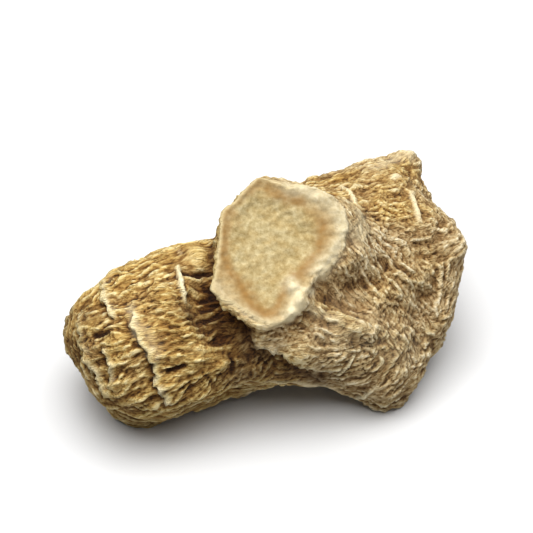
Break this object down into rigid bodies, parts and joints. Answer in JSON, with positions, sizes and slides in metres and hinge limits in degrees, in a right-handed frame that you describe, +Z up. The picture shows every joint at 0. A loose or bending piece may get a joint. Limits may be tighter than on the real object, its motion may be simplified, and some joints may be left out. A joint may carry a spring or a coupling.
{
  "type": "american ginseng root piece",
  "caption": "Dried chunk of ginseng root lying on its side: a stout ringed tap root with a forked end and the flat-cut stub of a side branch.",
  "frame": {"origin": "the middle of the bounding box, on the surface that the root rests on", "axes": "+X along the root from the blunt end of the tap root to the forked end, +Y away from the side that the cut stub faces, +Z up"},
  "size_m": [0.0398, 0.0296, 0.0232],
  "materials": {
    "dried_bark": "dry, matt, wrinkled straw-brown bark with a pale tan knife-cut face"
  },
  "bodies": {
    "root": {"ginseng_root": "dried_bark"}
  },
  "joints": []
}
